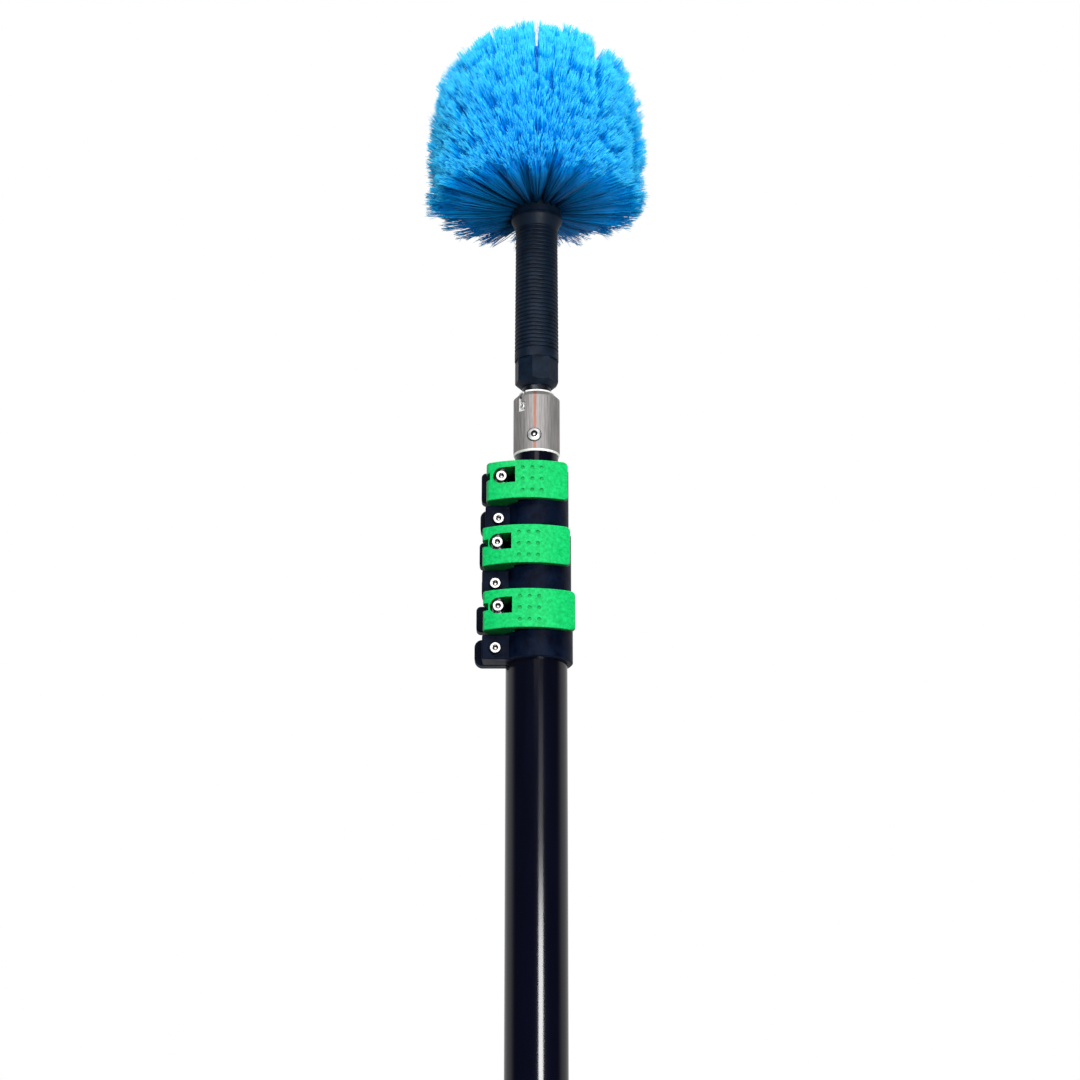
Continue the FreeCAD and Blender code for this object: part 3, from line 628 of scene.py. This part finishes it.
def tuft_strands(tuft):
    """The filaments of one tuft, which hold together in clumps, and the split hairs at their ends."""
    root, tip, across, along = tuft
    count = CLUMPS_PER_TUFT * FILAMENTS_PER_CLUMP
    clump = np.repeat(np.arange(CLUMPS_PER_TUFT), FILAMENTS_PER_CLUMP)
    order = np.arange(CLUMPS_PER_TUFT)
    turns = CLUMP_TURN * order + rng.uniform(0, 2 * math.pi)
    reach = np.sqrt((order + 0.5) / CLUMPS_PER_TUFT) * rng.uniform(0.85, 1.1, CLUMPS_PER_TUFT)
    local = CLUMP_SPREAD * np.sqrt(rng.uniform(0, 1, count))
    turn = rng.uniform(0, 2 * math.pi, count)
    u = (reach * np.cos(turns))[clump] + local * np.cos(turn)
    v = (reach * np.sin(turns))[clump] + local * np.sin(turn)
    offset = u[:, None] * across + v[:, None] * along
    ends = tip + TUFT_SPREAD * offset
    feet = root + ROOT_SPREAD * offset
    ends = feet + (ends - feet) * rng.normal(1.0, 0.012, (count, 1))

    centre = np.stack([np.zeros(count), np.zeros(count), np.minimum(ends[:, 2], DOME_CENTRE)], axis=-1)
    ends = parted(ends)
    tuft_length = rng.uniform(0.945, 1.0)
    clump_length = rng.uniform(0.92, 1.0, CLUMPS_PER_TUFT)[clump]
    length = tuft_length * clump_length * rng.uniform(0.975, 1.0, count)
    ends = centre + (ends - centre) * (trim_factor(ends) * length)[:, None]
    share = np.linspace(0, 1, SEGMENTS)
    paths = feet[:, None] + (ends - feet)[:, None] * share[None, :, None]
    paths += rng.normal(0, FILAMENT_SWAY, (count, 1, 3)) * np.sin(math.pi * share)[None, :, None]
    radii = np.array(FILAMENT_RADII)[None, :] * rng.uniform(0.85, 1.15, (count, 1))
    tone = rng.uniform(-0.12, 0.12) + rng.uniform(-0.16, 0.16, CLUMPS_PER_TUFT)[clump]
    shade = np.clip(0.5 + tone + rng.normal(0, 0.12, count), 0.02, 0.98)
    filaments = strands(paths, radii, shade, np.tile(share, (count, 1)))

    starts = paths[:, -2] + (paths[:, -1] - paths[:, -2]) * HAIR_START
    hair_paths = np.stack([starts, ends + rng.normal(0, HAIR_SWAY, (count, 3))], axis=1)
    hair_radii = np.tile(HAIR_RADII, (count, 1))
    hair_shade = np.clip(shade + 0.1, 0, 0.98)
    hairs = strands(hair_paths, hair_radii, hair_shade, np.tile([HAIR_SHARE, 1.0], (count, 1)))
    return [filaments, hairs]


def bristle_material():
    """Blue nylon fibre: painted shade darkens it towards the roots; pale at the ends, partly the split ends'
    own colour and partly painted light shining through them. UV: shade, share of length.
    """
    m = Nodes("bristle_fibre", 0.45, specular=0.06)
    m.place = m.node("ShaderNodeUVMap", uv_map=FIBRE_UV).outputs["UV"]
    shade, share, _ = m.split()
    # Painted shade darkens the fibre towards the roots, deep in the brush; the pale ends are partly the split
    # ends' own colour and partly painted light shining through them
    length_ramp_with_painted_shade = m.ramp(
        share,
        (0.0, (0.0, 0.045, 0.13)),
        (0.45, (0.0, 0.23, 0.58)),
        (0.80, (0.0, 0.38, 0.94)),
        (0.93, (0.0, 0.46, 0.98)),
        (1.0, (0.07, 0.68, 1.0)),
    )
    tint = m.ramp(shade, (0.0, (0.50, 0.66, 0.78)), (0.5, (0.90, 0.96, 1.0)), (1.0, (1.0, 1.0, 1.0)))
    m.colour(m.multiplied(length_ramp_with_painted_shade, tint))
    m.rough(m.ranged(shade, (0.0, 1.0), (0.40, 0.55)))
    m.bump(m.noise(40.0, (1.0, 3.0, 0.0), detail=1.0), 0.1, 0.0001)
    return m.material


def tuft_bodies(tufts):
    """A fluted, closed cone inside each tuft, which stands for its densely packed middle."""
    vertices, faces, coordinates = [], [], []
    sides, rings = TUFT_BODY_SIDES, TUFT_BODY_RINGS
    for root, tip, across, along in tufts:
        base = len(vertices)
        run = parted(tip[None, :])[0] - root
        flute = rng.uniform(0.72, 1.0, sides)
        first = rng.uniform(0.0, 1.0 - TUFT_UV_WIDTH)
        for ring in range(rings):
            share = TUFT_BODY_SHARE * ring / (rings - 1)
            radius = TUFT_BODY_ROOT + (TUFT_SPREAD - TUFT_BODY_SLACK) * share**1.1
            if ring == rings - 1:
                radius *= TUFT_BODY_END
            for k in range(sides):
                turn = 2 * math.pi * k / sides
                reach = radius * (1 - (1 - flute[k]) * min(1, 3 * share))
                offset = across * math.cos(turn) + along * math.sin(turn)
                vertices.append(root + run * share + offset * reach)
        for ring in range(rings - 1):
            low, high = ring / (rings - 1), (ring + 1) / (rings - 1)
            for k in range(sides):
                a, b = base + ring * sides + k, base + ring * sides + (k + 1) % sides
                faces.append((a, b, b + sides, a + sides))
                left = first + TUFT_UV_WIDTH * k / sides
                right = first + TUFT_UV_WIDTH * (k + 1) / sides
                coordinates += [(left, low), (right, low), (right, high), (left, high)]
        faces.append(tuple(base + k for k in reversed(range(sides))))
        faces.append(tuple(base + (rings - 1) * sides + k for k in range(sides)))
        coordinates += [(first + TUFT_UV_WIDTH * k / sides, 0.0) for k in reversed(range(sides))]
        coordinates += [(first + TUFT_UV_WIDTH * k / sides, 1.0) for k in range(sides)]
    mesh = bpy.data.meshes.new("tuft_bodies")
    mesh.from_pydata([tuple(v) for v in vertices], [], faces)
    layer = mesh.uv_layers.new(name=FIBRE_UV)
    layer.data.foreach_set("uv", np.array(coordinates, dtype=np.float32).ravel())
    for polygon in mesh.polygons:
        polygon.use_smooth = True
    made = bpy.data.objects.new("tuft_bodies", mesh)
    bpy.context.scene.collection.objects.link(made)
    return made


def tuft_body_material():
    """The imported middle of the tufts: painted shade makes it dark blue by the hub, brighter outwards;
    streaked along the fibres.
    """
    m = Nodes("tuft_body_fibre", 0.55, specular=0.25)
    m.place = m.node("ShaderNodeUVMap", uv_map=FIBRE_UV).outputs["UV"]
    _, share, _ = m.split()
    # Painted shade: darker towards the hub, deep inside the brush
    length_ramp_with_painted_shade = m.ramp(
        share,
        (0.0, (0.0, 0.035, 0.12)),
        (0.5, (0.0, 0.18, 0.52)),
        (1.0, (0.0, 0.37, 0.92)),
    )
    streaks = m.noise(110.0, (1.0, 0.02, 0.0), detail=3.0)
    streak = m.ramp(streaks, (0.32, (0.35, 0.45, 0.58)), (0.68, (1.0, 1.0, 1.0)))
    m.colour(m.multiplied(length_ramp_with_painted_shade, streak))
    m.rough(m.ranged(streaks, (0.3, 0.7), (0.5, 0.7)))
    m.bump(streaks, 0.5, 0.0006)
    return m.material


def make_bristles():
    """The strands in a few pieces, and the tufts' bodies; together they replace the CAD dome."""
    tufts = tuft_list()
    fibre = bristle_material()
    for section in range(BRISTLE_SECTIONS):
        share = len(tufts) / BRISTLE_SECTIONS
        own = tufts[round(section * share) : round((section + 1) * share)]
        parts = [part for tuft in own for part in tuft_strands(tuft)]
        piece = strand_object(f"bristles_{section + 1}", parts)
        piece.data.materials.append(fibre)
        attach(piece, "brush")
        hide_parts("bristles")
    bodies = tuft_bodies(tufts)
    bodies.data.materials.append(tuft_body_material())
    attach(bodies, "brush")
    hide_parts("bristles")


make_bristles()
